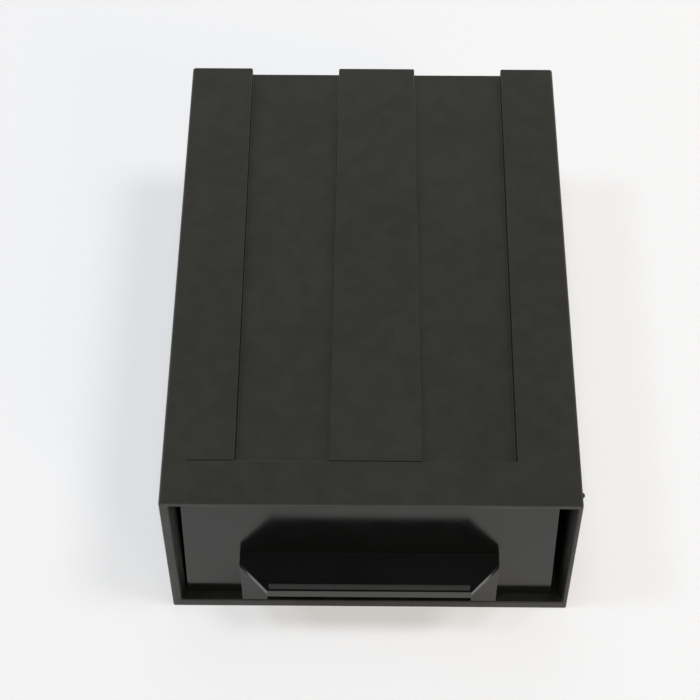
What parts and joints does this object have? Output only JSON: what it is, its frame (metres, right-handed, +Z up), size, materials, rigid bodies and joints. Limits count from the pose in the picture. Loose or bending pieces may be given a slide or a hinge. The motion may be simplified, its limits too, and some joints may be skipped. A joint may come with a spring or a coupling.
{
  "type": "component drawer box",
  "caption": "Low stackable plastic box with raised strips on its top, a sliding drawer with a lipped pull, and loose plates that divide the drawer.",
  "frame": {"origin": "centre of the box's footprint on the surface it stands on, the pull included", "axes": "+Z up, -Y to the front where the drawer opens, +X to the right seen from the front"},
  "size_m": [0.1106, 0.1654, 0.054],
  "materials": {
    "case_plastic": "fine matte moulded black",
    "drawer_plastic": "satin moulded black"
  },
  "bodies": {
    "case": {"case": "case_plastic"},
    "drawer": {"drawer": "drawer_plastic", "divider_front": "drawer_plastic", "divider_rear": "drawer_plastic"}
  },
  "joints": [
    {"name": "drawer_slide", "type": "slide", "parent": "case", "child": "drawer", "axis": [0, -1, 0], "range_m": [0, 0.124]}
  ]
}
